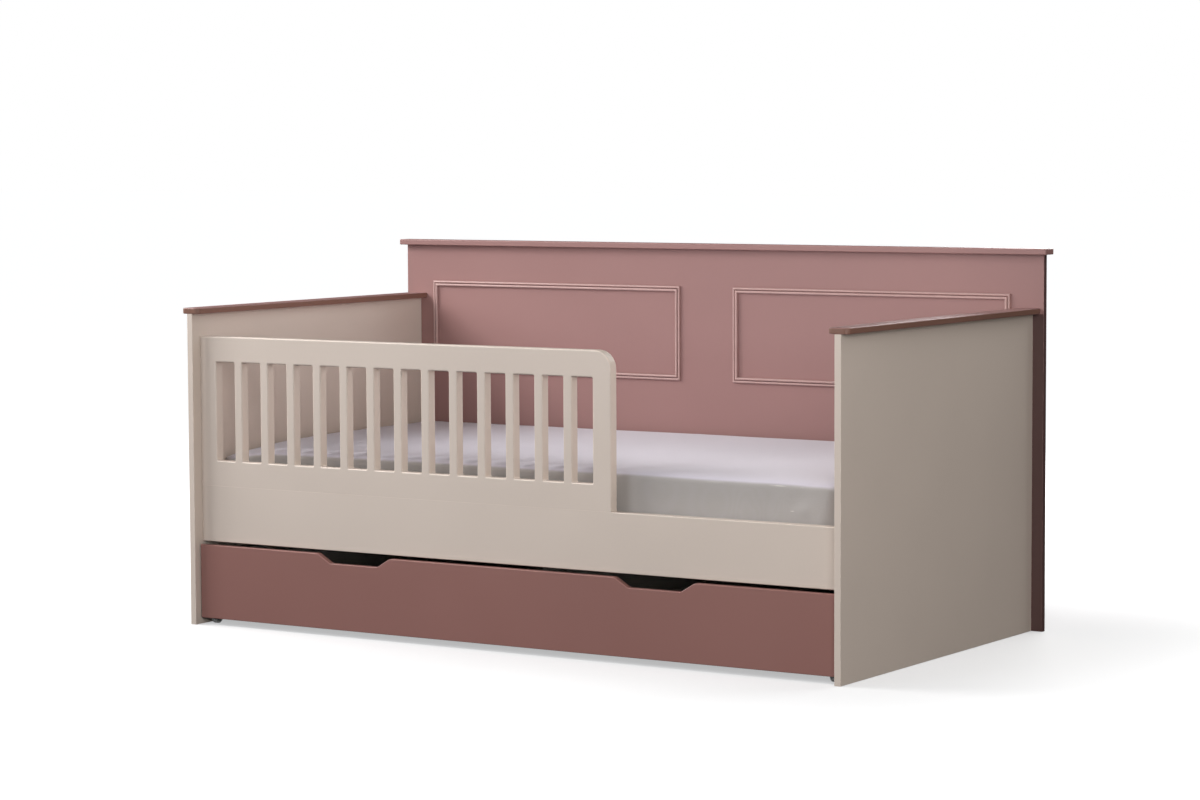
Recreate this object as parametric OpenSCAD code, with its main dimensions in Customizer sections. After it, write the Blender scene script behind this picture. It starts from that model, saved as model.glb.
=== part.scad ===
// Day bed for a small child: two full-height end panels, a tall back panel
// with applied moulding frames, a front rail that carries a slatted half-length
// guard, a slatted base with a mattress, and a full-width trundle drawer that
// rolls out on four small fixed casters.
//
// Frame: +X along the bed, +Y from the open front towards the back panel,
// +Z up. The origin is on the floor, under the middle of the bed's outline.

/* [Sleeping surface] */
// Length of the mattress
mattress_l = 2000; // [1900:10:2000]
// Width of the mattress, front to back
mattress_w = 1000; // [900:10:1000]
// Thickness of the mattress
mattress_t = 162; // [120:1:180]
// Plan radius of the mattress corners
mattress_corner_r = 60; // [30:5:120]
// Clear length between the two end panels
clear_l = 2010; // [2010:5:2060]
// Height of the deck that the mattress lies on
deck_z = 335; // [325:1:345]

/* [Boards] */
// Thickness of the end panels, the back panel and the drawer boards
board_t = 18; // [16:1:22]
// Thickness of the front rail and of the guard
rail_t = 30; // [25:1:32]
// Thickness of the caps on the end panels and the back panel
cap_t = 16; // [14:1:22]

/* [End panels and back] */
// Depth of an end panel, from its front edge to the back panel
panel_d = 1077; // [1077:1:1100]
// Height of an end panel, under its cap
end_h = 861; // [820:1:900]
// Height of the back panel, under its cap
back_h = 1021; // [960:1:1080]
// How far the back panel runs past each end panel
back_past = 32; // [25:1:60]
// Overhang of an end cap on each side of its panel
end_cap_over = 21; // [12:1:28]
// Plan radius of an end cap's front corners
end_cap_r = 15; // [5:1:25]
// Overhang of the back cap at the front
back_cap_front = 20; // [12:1:26]
// Overhang of the back cap at the rear
back_cap_rear = 11; // [6:1:20]
// Overhang of the back cap past each end of the back panel
back_cap_end = 15; // [8:1:30]

/* [Moulding frames] */
// Width of a moulding strip
mould_w = 16; // [14:1:20]
// Thickness of a moulding strip at the crown of its beads
mould_t = 8; // [6:1:10]
// Distance from the centre line to the near side of each frame
mould_in = 88; // [60:1:140]
// Distance from the centre line to the far side of each frame
mould_out = 957; // [900:1:985]
// Height of the lower side of the frames
mould_lo = 642; // [600:1:700]
// Height of the upper side of the frames
mould_hi = 914; // [880:1:940]

/* [Front rail and guard] */
// Recess of the rail's face behind the end panels' front edges
rail_in = 33; // [30:1:40]
// Height of the rail's lower edge
rail_lo = 231; // [229:1:236]
// Height of the rail's upper edge
rail_hi = 386; // [380:1:395]
// Length of the guard, from the left end panel
guard_l = 1344; // [1344:1:1400]
// Height of the guard above the rail
guard_h = 413; // [380:1:430]
// Height of the guard's upper and lower rails
guard_rail_h = 70; // [60:1:85]
// Width of the guard's left stile
guard_stile_w = 55; // [50:1:60]
// Width of one guard slat
guard_slat_w = 26; // [20:1:28]
// Width of one gap between guard slats
guard_gap_w = 64; // [60:1:64]
// Radius of the guard's free upper corner
guard_corner_r = 48; // [30:1:60]

/* [Slatted base] */
// Number of slats under the mattress
slat_n = 14; // [12:1:16]
// Width of one slat
slat_w = 80; // [60:1:90]
// Thickness of one slat
slat_t = 18; // [15:1:20]
// Depth of a ledger, measured out from the board it is screwed to
ledger_d = 30; // [25:1:35]
// Height of a ledger
ledger_h = 40; // [35:1:45]

/* [Trundle drawer] */
// Gap between the drawer front and each end panel
front_gap = 3; // [2:0.5:5]
// Recess of the drawer front behind the end panels' front edges
front_in = 20; // [16:1:24]
// Height of the drawer front's lower edge
front_lo = 18; // [14:1:24]
// Height of the drawer front's upper edge
front_hi = 222; // [215:1:224]
// Gap between the drawer box and each end panel
box_gap = 10; // [8:1:15]
// Height of the drawer box's upper edge
box_hi = 200; // [150:5:200]
// Distance of each hand cut-out from the centre line
cut_x = 475; // [380:5:600]
// Width of a hand cut-out at the top
cut_top = 240; // [200:5:260]
// Width of a hand cut-out at its floor
cut_floor = 156; // [120:2:180]
// Depth of a hand cut-out
cut_d = 25; // [20:1:30]
// Radius of a hand cut-out's upper corners
cut_r_top = 22; // [8:1:30]
// Radius of a hand cut-out's lower corners
cut_r_floor = 12; // [6:1:20]

/* [Casters] */
// Radius of a caster wheel
wheel_r = 18; // [16:0.5:18]
// Width of a caster wheel
wheel_w = 14; // [12:0.5:16]
// Radius of a caster axle
axle_r = 2.5; // [2:0.1:3]
// Radial running clearance between wheel and axle
axle_gap = 0.05; // [0.02:0.01:0.1]
// Height of the caster's mounting face over the floor
caster_h = 47; // [45:1:49]
// Distance of each wheel from the centre line
caster_x = 977; // [940:1:978]

/* [Hidden] */
$fn = 48;

beige = [0.76, 0.72, 0.67];
pink = [0.66, 0.49, 0.48];
board_white = [0.86, 0.84, 0.80];
pine = [0.86, 0.74, 0.55];
beech = [0.80, 0.64, 0.45];
steel = [0.70, 0.71, 0.73];
black = [0.06, 0.06, 0.06];
grey = [0.75, 0.75, 0.74];
linen = [0.88, 0.86, 0.89];

g = 0.05;                                   // gap round every fastener
total_d = panel_d + board_t + back_cap_rear; // front edges to back cap
fy = -total_d / 2;                          // front edges of the end panels
by = fy + panel_d;                          // front face of the back panel
ry = by + board_t;                          // rear face of the back panel
ix = clear_l / 2;                           // inner faces of the end panels
ox = ix + board_t;                          // outer faces of the end panels
bx = ox + back_past;                        // ends of the back panel
rf = fy + rail_in;                          // front face of rail and guard
rb = rf + rail_t;                           // rear face of rail and guard
rm = (rf + rb) / 2;
gx0 = -ix;                                  // left end of the guard
gx1 = gx0 + guard_l;                        // free end of the guard
gz1 = rail_hi + guard_h;                    // top of the guard
slot_z0 = rail_hi + guard_rail_h;
slot_z1 = gz1 - guard_rail_h;
pitch = guard_slat_w + guard_gap_w;
slots = floor((guard_l - 2 * guard_stile_w + guard_slat_w + 0.01) / pitch);
sx0 = gx0 + guard_stile_w;                  // first gap's left side
sx1 = sx0 + slots * pitch - guard_slat_w;   // last gap's right side
df = fy + front_in;                         // front face of the drawer front
dx = ix - box_gap;                          // outer faces of the drawer box
d0 = df + board_t;                          // front of the drawer box
d1 = by - 2;                                // rear of the drawer box
bot_z = caster_h + board_t;                 // top of the drawer bottom
cf = d0 + wheel_r + 2;                      // front wheels' axle line
cr = d1 - wheel_r - 16;                     // rear wheels' axle line
plate_t = 2;

// ---------- building blocks ----------

// Box given by its two opposite corners.
module box(a, b) { translate(a) cube(b - a); }

// Rod from point p along a named direction.
module rod(p, r, l, dir = "z") {
  translate(p)
    rotate(dir == "x" ? [0, 90, 0] : dir == "y" ? [-90, 0, 0] : [0, 0, 0])
      cylinder(r = r, h = l);
}

// Countersunk screw: head flush with z = 0, shank towards -z.
module csk_screw(r, hr, l, s = 0) {
  union() {
    translate([0, 0, -(hr - r)]) cylinder(r1 = r + s, r2 = hr + s, h = hr - r);
    translate([0, 0, -l - s]) cylinder(r = r + s, h = l + s - (hr - r) + 0.001);
  }
}

// Pan-head screw: head above z = 0, shank towards -z.
module pan_screw(r, hr, hh, l) {
  union() {
    cylinder(r = hr, h = hh);
    translate([0, 0, -l]) cylinder(r = r, h = l + 0.001);
  }
}

// ---------- fastener positions ----------

back_screw_z = [70, 250, 430, 610, 790];
end_dowel_y = [for (i = [0:3]) fy + 90 + i * (panel_d - 180) / 3];
back_dowel_x = [for (i = [-4:4]) i * (bx - 60) / 4];
cam_z = [rail_lo + 40, rail_hi - 40];
rail_dowel_z = [rail_lo + 18, rail_hi - 62];
cam_in = 34;                                // cam centre from the rail's end
cam_d = rail_t / 2 + 4;                     // depth of a cam housing
plate_x = [gx0 + 180, (gx0 + gx1) / 2, gx1 - 180];
plate_w = 24;
plate_h = 100;
plate_hole = [-38, -16, 16, 38];
guard_dowel_x = [for (i = [0:5]) gx0 + 100 + i * (guard_l - 200) / 5];
guard_side_z = [rail_hi + 35, gz1 - 35];
ledger_x = [for (i = [-4:4]) i * (ix - 45) / 4];
slat_pitch = clear_l / slat_n;
slat_x = [for (i = [0:slat_n - 1]) -ix + (i + 0.5) * slat_pitch];
side_screw_y = [for (i = [0:4]) d0 + 130 + i * (d1 - d0 - 260) / 4];
back_side_z = [bot_z + 35, box_hi - 35];
front_dowel_z = [bot_z + 30, box_hi - 30];
caster_pos = [[-caster_x, cf], [caster_x, cf], [-caster_x, cr], [caster_x, cr]];

// ---------- bed frame ----------

// Left end panel, standing on the floor. s = -1 left, 1 right.
module end_panel(s) {
  x0 = s > 0 ? ix : -ox;
  difference() {
    box([x0, fy, 0], [x0 + board_t, by, end_h]);
    for (y = end_dowel_y)
      rod([x0 + board_t / 2, y, end_h - 20], 4 + g, 21);
    for (z = back_screw_z)
      rod([x0 + board_t / 2, by - 34, z], 3.5 + g, 35, "y");
    for (z = cam_z)
      rod([s * ix - (s > 0 ? 1 : 11), rm, z], 2.5 + g, 12, "x");
    for (z = rail_dowel_z)
      rod([s * ix - (s > 0 ? 1 : 12), rm, z], 4 + g, 13, "x");
    if (s < 0) for (z = guard_side_z)
      rod([-ix - 12, rm, z], 4 + g, 13, "x");
  }
}
module left_end_panel() { color(beige) end_panel(-1); }
module right_end_panel() { color(beige) end_panel(1); }

// Cap board with two rounded front corners.
module end_cap(s) {
  xc = s * (ix + board_t / 2);
  w = board_t / 2 + end_cap_over;
  difference() {
    translate([xc, fy, end_h]) linear_extrude(cap_t) union() {
      translate([-w, end_cap_r]) square([2 * w, panel_d - end_cap_r]);
      translate([-w + end_cap_r, 0]) square([2 * (w - end_cap_r), end_cap_r + 1]);
      for (k = [-1, 1])
        translate([k * (w - end_cap_r), end_cap_r]) circle(r = end_cap_r);
    }
    for (y = end_dowel_y)
      rod([xc, y, end_h - 1], 4 + g, 11);
  }
}
module left_end_cap() { color(pink) end_cap(-1); }
module right_end_cap() { color(pink) end_cap(1); }

module end_cap_dowels() {
  color(beech) for (s = [-1, 1], y = end_dowel_y)
    rod([s * (ix + board_t / 2), y, end_h - 19.5], 4, 29);
}

module back_panel() {
  color(pink) difference() {
    box([-bx, by, 0], [bx, ry, back_h]);
    for (s = [-1, 1], z = back_screw_z)
      translate([s * (ix + board_t / 2), ry, z]) rotate([-90, 0, 0])
        csk_screw(3.5, 6, 60, g);
    for (x = back_dowel_x)
      rod([x, by + board_t / 2, back_h - 20], 4 + g, 21);
    for (x = ledger_x)
      rod([x, by - 1, deck_z - slat_t - ledger_h / 2], 2 + g, 13, "y");
  }
}

module back_cap() {
  color(pink) difference() {
    box([-bx - back_cap_end, by - back_cap_front, back_h],
        [bx + back_cap_end, ry + back_cap_rear, back_h + cap_t]);
    for (x = back_dowel_x)
      rod([x, by + board_t / 2, back_h - 1], 4 + g, 11);
  }
}

module back_cap_dowels() {
  color(beech) for (x = back_dowel_x)
    rod([x, by + board_t / 2, back_h - 19.5], 4, 29);
}

// Screws that draw the end panels to the back panel.
module back_panel_screws() {
  color(steel) for (s = [-1, 1], z = back_screw_z)
    translate([s * (ix + board_t / 2), ry, z]) rotate([-90, 0, 0])
      csk_screw(3.5, 6, 50);
}

// Cross-section of a moulding strip: a flat back with two round beads.
module mould_profile() {
  r = mould_t - 4;
  union() {
    square([mould_w, 2.5]);
    translate([r, 4]) circle(r = r);
    translate([mould_w - r, 4]) circle(r = r);
    translate([0, 0]) square([2 * r, 4]);
    translate([mould_w - 2 * r, 0]) square([2 * r, 4]);
  }
}

// Four mitred strips on the front face of the back panel.
module moulding_frame(x0, x1) {
  w = x1 - x0;
  h = mould_hi - mould_lo;
  e = 0.05;
  translate([x0, by, mould_lo]) rotate([90, 0, 0]) {
    translate([e, 0, 0]) mould_strip(w - 2 * e);
    translate([w - e, h, 0]) rotate(180) mould_strip(w - 2 * e);
    translate([w, e, 0]) rotate(90) mould_strip(h - 2 * e);
    translate([0, h - e, 0]) rotate(-90) mould_strip(h - 2 * e);
  }
}
// Strip of length l lying on the plane z = 0, with its outer side on y = 0
// and both ends mitred.
module mould_strip(l) {
  difference() {
    rotate([90, 0, 90]) linear_extrude(l) mould_profile();
    translate([0, 0, -1]) rotate(45) translate([-10, 0, 0])
      cube([mould_w * 3, mould_w * 2, mould_t + 2]);
    translate([l, 0, -1]) rotate(-45) translate([-mould_w * 3 + 10, 0, 0])
      cube([mould_w * 3, mould_w * 2, mould_t + 2]);
  }
}
module left_moulding_frame() {
  color(pink) moulding_frame(-mould_out, -mould_in);
}
module right_moulding_frame() {
  color(pink) moulding_frame(mould_in, mould_out);
}

// ---------- front rail and guard ----------

module front_rail() {
  color(beige) difference() {
    box([-ix, rf, rail_lo], [ix, rb, rail_hi]);
    for (s = [-1, 1]) {
      for (z = cam_z) {
        rod([s * (ix - cam_in), rb - cam_d - 0.5, z], 7.5 + g, cam_d + 1.5, "y");
        rod([s > 0 ? ix - cam_in : -ix - 1, rm, z], 3.5 + g, cam_in + 1, "x");
      }
      for (z = rail_dowel_z)
        rod([s > 0 ? ix - 25 : -ix - 1, rm, z], 4 + g, 26, "x");
    }
    for (x = guard_dowel_x) rod([x, rm, rail_hi - 21], 4 + g, 22);
    for (x = plate_x, k = [0, 1])
      rod([x, rb - 16, rail_hi + plate_hole[k]], 2 + g, 17, "y");
    for (x = ledger_x)
      rod([x, rb - 12, deck_z - slat_t - ledger_h / 2], 2 + g, 13, "y");
  }
}

// Cam housings let into the rear face of the rail.
module rail_cams() {
  color(steel) for (s = [-1, 1], z = cam_z)
    difference() {
      rod([s * (ix - cam_in), rb - cam_d, z], 7.5, cam_d, "y");
      rod([s > 0 ? ix - cam_in - 3 : -ix + cam_in + 3 - 20, rm, z],
          3.5 + g, 20, "x");
      translate([s * (ix - cam_in), rb - 2, z]) rotate([-90, 0, 0]) {
        translate([-4.5, -0.8, 0]) cube([9, 1.6, 3]);
        translate([-0.8, -4.5, 0]) cube([1.6, 9, 3]);
      }
    }
}

module rail_cam_bolts() {
  color(steel) for (s = [-1, 1], z = cam_z)
    union() {
      rod([s > 0 ? ix - cam_in + 1 : -ix, rm, z], 3.5, cam_in - 1, "x");
      rod([s > 0 ? ix - 0.001 : -ix - 10.5, rm, z], 2.5, 10.501, "x");
    }
}

module rail_dowels() {
  color(beech) for (s = [-1, 1], z = rail_dowel_z)
    rod([s > 0 ? ix - 24 : -ix - 11.5, rm, z], 4, 35.5, "x");
}

module guard_top_rail() {
  color(beige) difference() {
    translate([0, rb, 0]) rotate([90, 0, 0]) linear_extrude(rail_t) union() {
      translate([gx0, slot_z1])
        square([guard_l - guard_corner_r, guard_rail_h]);
      translate([gx1 - guard_corner_r - 1, slot_z1])
        square([guard_corner_r + 1, guard_rail_h - guard_corner_r]);
      intersection() {
        translate([gx1 - guard_corner_r, gz1 - guard_corner_r])
          circle(r = guard_corner_r, $fn = 96);
        translate([gx1 - guard_corner_r - 1, gz1 - guard_corner_r - 1])
          square([guard_corner_r + 1, guard_corner_r + 1]);
      }
    }
    rod([-ix - 1, rm, guard_side_z[1]], 4 + g, 19, "x");
  }
}

module guard_bottom_rail() {
  color(beige) difference() {
    box([gx0, rf, rail_hi], [gx1, rb, slot_z0]);
    for (x = guard_dowel_x) rod([x, rm, rail_hi - 1], 4 + g, 22);
    for (x = plate_x, k = [2, 3])
      rod([x, rb - 16, rail_hi + plate_hole[k]], 2 + g, 17, "y");
    rod([-ix - 1, rm, guard_side_z[0]], 4 + g, 19, "x");
  }
}

module guard_left_stile() {
  color(beige) box([gx0, rf, slot_z0], [sx0, rb, slot_z1]);
}

module guard_right_stile() {
  color(beige) box([sx1, rf, slot_z0], [gx1, rb, slot_z1]);
}

module guard_slats() {
  color(beige) for (i = [1:slots - 1])
    box([sx0 + i * pitch - guard_slat_w, rf, slot_z0],
        [sx0 + i * pitch, rb, slot_z1]);
}

module guard_dowels() {
  color(beech) {
    for (x = guard_dowel_x) rod([x, rm, rail_hi - 20], 4, 40);
    for (z = guard_side_z) rod([-ix - 11.5, rm, z], 4, 29, "x");
  }
}

// Flat steel plates across the joint, on the mattress side.
module guard_plates() {
  color(steel) for (x = plate_x) difference() {
    box([x - plate_w / 2, rb, rail_hi - plate_h / 2],
        [x + plate_w / 2, rb + 2.5, rail_hi + plate_h / 2]);
    for (z = plate_hole)
      rod([x, rb - 1, rail_hi + z], 2 + g, 5, "y");
  }
}

module guard_screws() {
  color(steel) for (x = plate_x, z = plate_hole)
    translate([x, rb + 2.5, rail_hi + z]) rotate([-90, 0, 0])
      pan_screw(2, 4, 2, 17);
}

// ---------- slatted base and mattress ----------

module ledger(y0, screw_y) {
  difference() {
    box([-ix + 5, y0, deck_z - slat_t - ledger_h],
        [ix - 5, y0 + ledger_d, deck_z - slat_t]);
    for (x = ledger_x)
      rod([x, y0 - 1, deck_z - slat_t - ledger_h / 2], 2 + g, ledger_d + 2, "y");
    for (x = slat_x)
      rod([x, y0 + ledger_d / 2, deck_z - slat_t - 18], 2 + g, 19);
  }
}
module front_ledger() { color(pine) ledger(rb, 0); }
module rear_ledger() { color(pine) ledger(by - ledger_d, 0); }

module ledger_screws() {
  z = deck_z - slat_t - ledger_h / 2;
  color(steel) {
    for (x = ledger_x) translate([x, rb + ledger_d, z]) rotate([-90, 0, 0])
      pan_screw(2, 4, 2, ledger_d + 11);
    for (x = ledger_x) translate([x, by - ledger_d, z]) rotate([90, 0, 0])
      pan_screw(2, 4, 2, ledger_d + 11);
  }
}

module bed_slats() {
  color(pine) for (x = slat_x) difference() {
    box([x - slat_w / 2, rb + 2, deck_z - slat_t], [x + slat_w / 2, by - 2, deck_z]);
    for (y = [rb + ledger_d / 2, by - ledger_d / 2])
      translate([x, y, deck_z - 1]) csk_screw(2, 4, 40, g);
    for (y = [rb + ledger_d / 2, by - ledger_d / 2])
      rod([x, y, deck_z - 1.001], 4 + g, 2);
  }
}

module slat_screws() {
  color(steel) for (x = slat_x, y = [rb + ledger_d / 2, by - ledger_d / 2])
    translate([x, y, deck_z - 1]) csk_screw(2, 4, 34);
}

// Mattress block with rounded corners in plan.
module mattress() {
  r = mattress_corner_r;
  y0 = by - 3 - mattress_w;
  color(linen) translate([0, y0, deck_z + 0.3]) linear_extrude(mattress_t)
    union() {
      translate([-mattress_l / 2 + r, 0]) square([mattress_l - 2 * r, mattress_w]);
      translate([-mattress_l / 2, r]) square([mattress_l, mattress_w - 2 * r]);
      for (a = [-1, 1], b = [0, 1])
        translate([a * (mattress_l / 2 - r), b == 0 ? r : mattress_w - r])
          circle(r = r, $fn = 64);
    }
}

// ---------- trundle drawer ----------

// Points on an arc from angle a0 to angle a1.
function arc(c, r, a0, a1, n = 8) =
  [for (i = [0:n]) let (a = a0 + (a1 - a0) * i / n)
    [c[0] + r * cos(a), c[1] + r * sin(a)]];

// Left half of a hand cut-out, from the top edge down to the floor, with an
// eased corner at the top and a tighter one at the floor.
cut_slope = atan(cut_d / ((cut_top - cut_floor) / 2));
cut_t1 = cut_r_top * tan(cut_slope / 2);
cut_t2 = cut_r_floor * tan(cut_slope / 2);
cut_half = concat(
  arc([-cut_top / 2 - cut_t1, -cut_r_top], cut_r_top, 90, 90 - cut_slope),
  arc([-cut_floor / 2 + cut_t2, -cut_d + cut_r_floor], cut_r_floor,
      270 - cut_slope, 270)
);

// Outline of one hand cut-out, open at the top edge.
module hand_cut() {
  n = len(cut_half);
  polygon(concat(
    [[-cut_top / 2 - cut_t1, 2]], cut_half,
    [for (i = [n - 1:-1:0]) [-cut_half[i][0], cut_half[i][1]]],
    [[cut_top / 2 + cut_t1, 2]]
  ));
}

module drawer_front() {
  color(pink) difference() {
    translate([0, d0, 0]) rotate([90, 0, 0]) linear_extrude(board_t)
      difference() {
        translate([-ix + front_gap, front_lo])
          square([clear_l - 2 * front_gap, front_hi - front_lo]);
        for (s = [-1, 1]) translate([s * cut_x, front_hi]) hand_cut();
      }
    for (x = [-dx + board_t / 2, 0, dx - board_t / 2], z = front_dowel_z)
      rod([x, d0 - 12, z], 4 + g, 13, "y");
    for (s = [-1, 1], x = [300, 650])
      rod([s * x, d0 - 12, caster_h + board_t / 2], 4 + g, 13, "y");
  }
}

module drawer_front_dowels() {
  color(beech) {
    for (x = [-dx + board_t / 2, 0, dx - board_t / 2], z = front_dowel_z)
      rod([x, d0 - 11.5, z], 4, 35, "y");
    for (s = [-1, 1], x = [300, 650])
      rod([s * x, d0 - 11.5, caster_h + board_t / 2], 4, 35, "y");
  }
}

module drawer_side(s) {
  x0 = s > 0 ? dx - board_t : -dx;
  difference() {
    box([x0, d0, bot_z], [x0 + board_t, d1, box_hi]);
    for (z = front_dowel_z)
      rod([x0 + board_t / 2, d0 - 1, z], 4 + g, 25, "y");
    for (y = side_screw_y)
      rod([x0 + board_t / 2, y, bot_z - 1], 3.5 + g, 34);
    for (z = back_side_z)
      translate([s * dx, d1 - board_t / 2, z]) rotate([0, s * 90, 0])
        csk_screw(3.5, 5, 60, g);
  }
}
module drawer_left_side() { color(board_white) drawer_side(-1); }
module drawer_right_side() { color(board_white) drawer_side(1); }

module drawer_back() {
  color(board_white) difference() {
    box([-dx + board_t, d1 - board_t, bot_z], [dx - board_t, d1, box_hi]);
    for (s = [-1, 1], z = back_side_z)
      rod([s > 0 ? dx - board_t - 33 : -dx + board_t - 1,
           d1 - board_t / 2, z], 3.5 + g, 34, "x");
    for (z = back_side_z)
      translate([0, d1, z]) rotate([-90, 0, 0]) csk_screw(3.5, 5, 60, g);
  }
}

module drawer_divider() {
  color(board_white) difference() {
    box([-board_t / 2, d0, bot_z], [board_t / 2, d1 - board_t, box_hi]);
    for (z = front_dowel_z) rod([0, d0 - 1, z], 4 + g, 25, "y");
    for (y = side_screw_y) rod([0, y, bot_z - 1], 3.5 + g, 34);
    for (z = back_side_z)
      rod([0, d1 - board_t - 33, z], 3.5 + g, 34, "y");
  }
}

// Screws that hold the drawer box together.
module drawer_screw_set(l, s = 0) {
  for (x = [-dx + board_t / 2, 0, dx - board_t / 2], y = side_screw_y)
    translate([x, y, caster_h]) rotate([180, 0, 0]) csk_screw(3.5, 5, l, s);
}
module drawer_screws() {
  color(steel) {
    drawer_screw_set(50);
    for (s = [-1, 1], z = back_side_z)
      translate([s * dx, d1 - board_t / 2, z]) rotate([0, s * 90, 0])
        csk_screw(3.5, 5, 50);
    for (z = back_side_z)
      translate([0, d1, z]) rotate([-90, 0, 0]) csk_screw(3.5, 5, 50);
  }
}

module drawer_bottom() {
  color(board_white) difference() {
    box([-dx, d0, caster_h], [dx, d1, bot_z]);
    drawer_screw_set(60, g);
    for (s = [-1, 1], x = [300, 650])
      rod([s * x, d0 - 1, caster_h + board_t / 2], 4 + g, 25, "y");
    for (p = caster_pos, a = [-1, 1], b = [-1, 1])
      rod([p[0] + a * 12.5, p[1] + b * 13, caster_h - 1], 1.75 + g, 15);
  }
}

// ---------- casters ----------

fork_in = wheel_w / 2 + 1;                  // inner faces of the fork's cheeks

// One cheek of the fork, outlined in the plane of the wheel.
module cheek() {
  difference() {
    union() {
      polygon([[-16, caster_h - 1], [16, caster_h - 1], [16, caster_h - 6],
               [6, wheel_r - 2.5], [-6, wheel_r - 2.5], [-16, caster_h - 6]]);
      translate([0, wheel_r]) circle(r = 6.5);
    }
    translate([0, wheel_r]) circle(r = axle_r + g);
  }
}

module caster_housings() {
  color(black) for (p = caster_pos) translate([p[0], p[1], 0]) {
    difference() {
      union() {
        box([-15, -18, caster_h - plate_t], [15, 18, caster_h]);
        for (k = [-1, 1])
          translate([k > 0 ? fork_in : -fork_in - 2, 0, 0])
            rotate([90, 0, 90]) linear_extrude(2) cheek();
      }
      for (a = [-1, 1], b = [-1, 1])
        rod([a * 12.5, b * 13, caster_h - 10], 1.75 + g, 20);
    }
  }
}

// Riveted axle with a flat head outside each cheek.
module caster_axles() {
  color(steel) for (p = caster_pos) union() {
    rod([p[0] - fork_in - 3.2, p[1], wheel_r], axle_r, 2 * fork_in + 6.4, "x");
    for (k = [-1, 1])
      rod([p[0] + (k > 0 ? fork_in + 2 : -fork_in - 3.2), p[1], wheel_r],
          4, 1.2, "x");
  }
}

module caster_screws() {
  color(steel) for (p = caster_pos, a = [-1, 1], b = [-1, 1])
    translate([p[0] + a * 12.5, p[1] + b * 13, caster_h - plate_t])
      rotate([180, 0, 0]) pan_screw(1.75, 2.4, 1.4, 13);
}

// Wheel with eased shoulders, a web and a hub.
module wheel(p) {
  color(grey) translate([p[0], p[1], wheel_r]) rotate([90, 0, 90])
    translate([0, 0, -wheel_w / 2]) difference() {
      union() {
        translate([0, 0, 1.2]) cylinder(r = wheel_r, h = wheel_w - 2.4);
        cylinder(r1 = wheel_r - 1.2, r2 = wheel_r, h = 1.2);
        translate([0, 0, wheel_w - 1.2])
          cylinder(r1 = wheel_r, r2 = wheel_r - 1.2, h = 1.2);
      }
      for (z = [-1, wheel_w - 3])
        translate([0, 0, z]) difference() {
          cylinder(r = wheel_r - 4, h = 4);
          translate([0, 0, -1]) cylinder(r = 6, h = 6);
        }
      translate([0, 0, -1]) cylinder(r = axle_r + axle_gap, h = wheel_w + 2);
    }
}
module front_left_wheel() { wheel(caster_pos[0]); }
module front_right_wheel() { wheel(caster_pos[1]); }
module rear_left_wheel() { wheel(caster_pos[2]); }
module rear_right_wheel() { wheel(caster_pos[3]); }

left_end_panel();
right_end_panel();
left_end_cap();
right_end_cap();
back_panel();
back_cap();
left_moulding_frame();
right_moulding_frame();
front_rail();
guard_top_rail();
guard_bottom_rail();
guard_left_stile();
guard_right_stile();
guard_slats();
guard_plates();
guard_screws();
guard_dowels();
rail_cams();
rail_cam_bolts();
rail_dowels();
back_panel_screws();
end_cap_dowels();
back_cap_dowels();
front_ledger();
rear_ledger();
ledger_screws();
bed_slats();
slat_screws();
mattress();
drawer_front();
drawer_left_side();
drawer_right_side();
drawer_back();
drawer_divider();
drawer_bottom();
drawer_front_dowels();
drawer_screws();
caster_housings();
caster_axles();
caster_screws();
front_left_wheel();
front_right_wheel();
rear_left_wheel();
rear_right_wheel();
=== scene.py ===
# Visual model of the day bed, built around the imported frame. Metres throughout.
import bpy
import bmesh
import math
import numpy as np
from mathutils import Matrix, Vector, noise
from mathutils.geometry import tessellate_polygon


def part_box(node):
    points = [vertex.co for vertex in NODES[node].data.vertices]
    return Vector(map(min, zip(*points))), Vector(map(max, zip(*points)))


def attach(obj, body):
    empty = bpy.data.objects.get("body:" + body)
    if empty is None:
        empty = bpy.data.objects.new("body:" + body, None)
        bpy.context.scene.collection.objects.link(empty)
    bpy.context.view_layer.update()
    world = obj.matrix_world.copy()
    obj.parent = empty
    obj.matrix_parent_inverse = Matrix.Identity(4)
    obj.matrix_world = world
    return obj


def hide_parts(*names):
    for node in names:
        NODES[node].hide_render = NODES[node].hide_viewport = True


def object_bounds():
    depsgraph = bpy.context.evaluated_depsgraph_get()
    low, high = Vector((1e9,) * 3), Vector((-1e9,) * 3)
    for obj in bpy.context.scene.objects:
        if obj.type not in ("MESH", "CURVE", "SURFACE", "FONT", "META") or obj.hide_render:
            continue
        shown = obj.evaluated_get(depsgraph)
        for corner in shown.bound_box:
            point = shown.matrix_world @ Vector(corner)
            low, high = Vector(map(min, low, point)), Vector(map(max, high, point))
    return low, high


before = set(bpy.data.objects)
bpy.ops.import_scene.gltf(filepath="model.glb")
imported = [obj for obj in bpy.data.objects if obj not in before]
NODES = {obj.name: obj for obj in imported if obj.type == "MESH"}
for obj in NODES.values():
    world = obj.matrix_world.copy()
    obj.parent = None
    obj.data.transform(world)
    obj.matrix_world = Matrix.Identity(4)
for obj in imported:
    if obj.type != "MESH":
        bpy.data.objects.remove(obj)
CAD_LO, CAD_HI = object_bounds()
scene = bpy.context.scene
MM = 0.001


def lo(n):
    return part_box(n)[0]


def hi(n):
    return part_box(n)[1]


# ---------------------------------------------------------------- materials

def material(name):
    m = bpy.data.materials.new(name)
    m.use_nodes = True
    nt = m.node_tree
    nt.nodes.clear()
    out = nt.nodes.new("ShaderNodeOutputMaterial")
    bsdf = nt.nodes.new("ShaderNodeBsdfPrincipled")
    nt.links.new(bsdf.outputs[0], out.inputs["Surface"])
    return m, nt, bsdf


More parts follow.
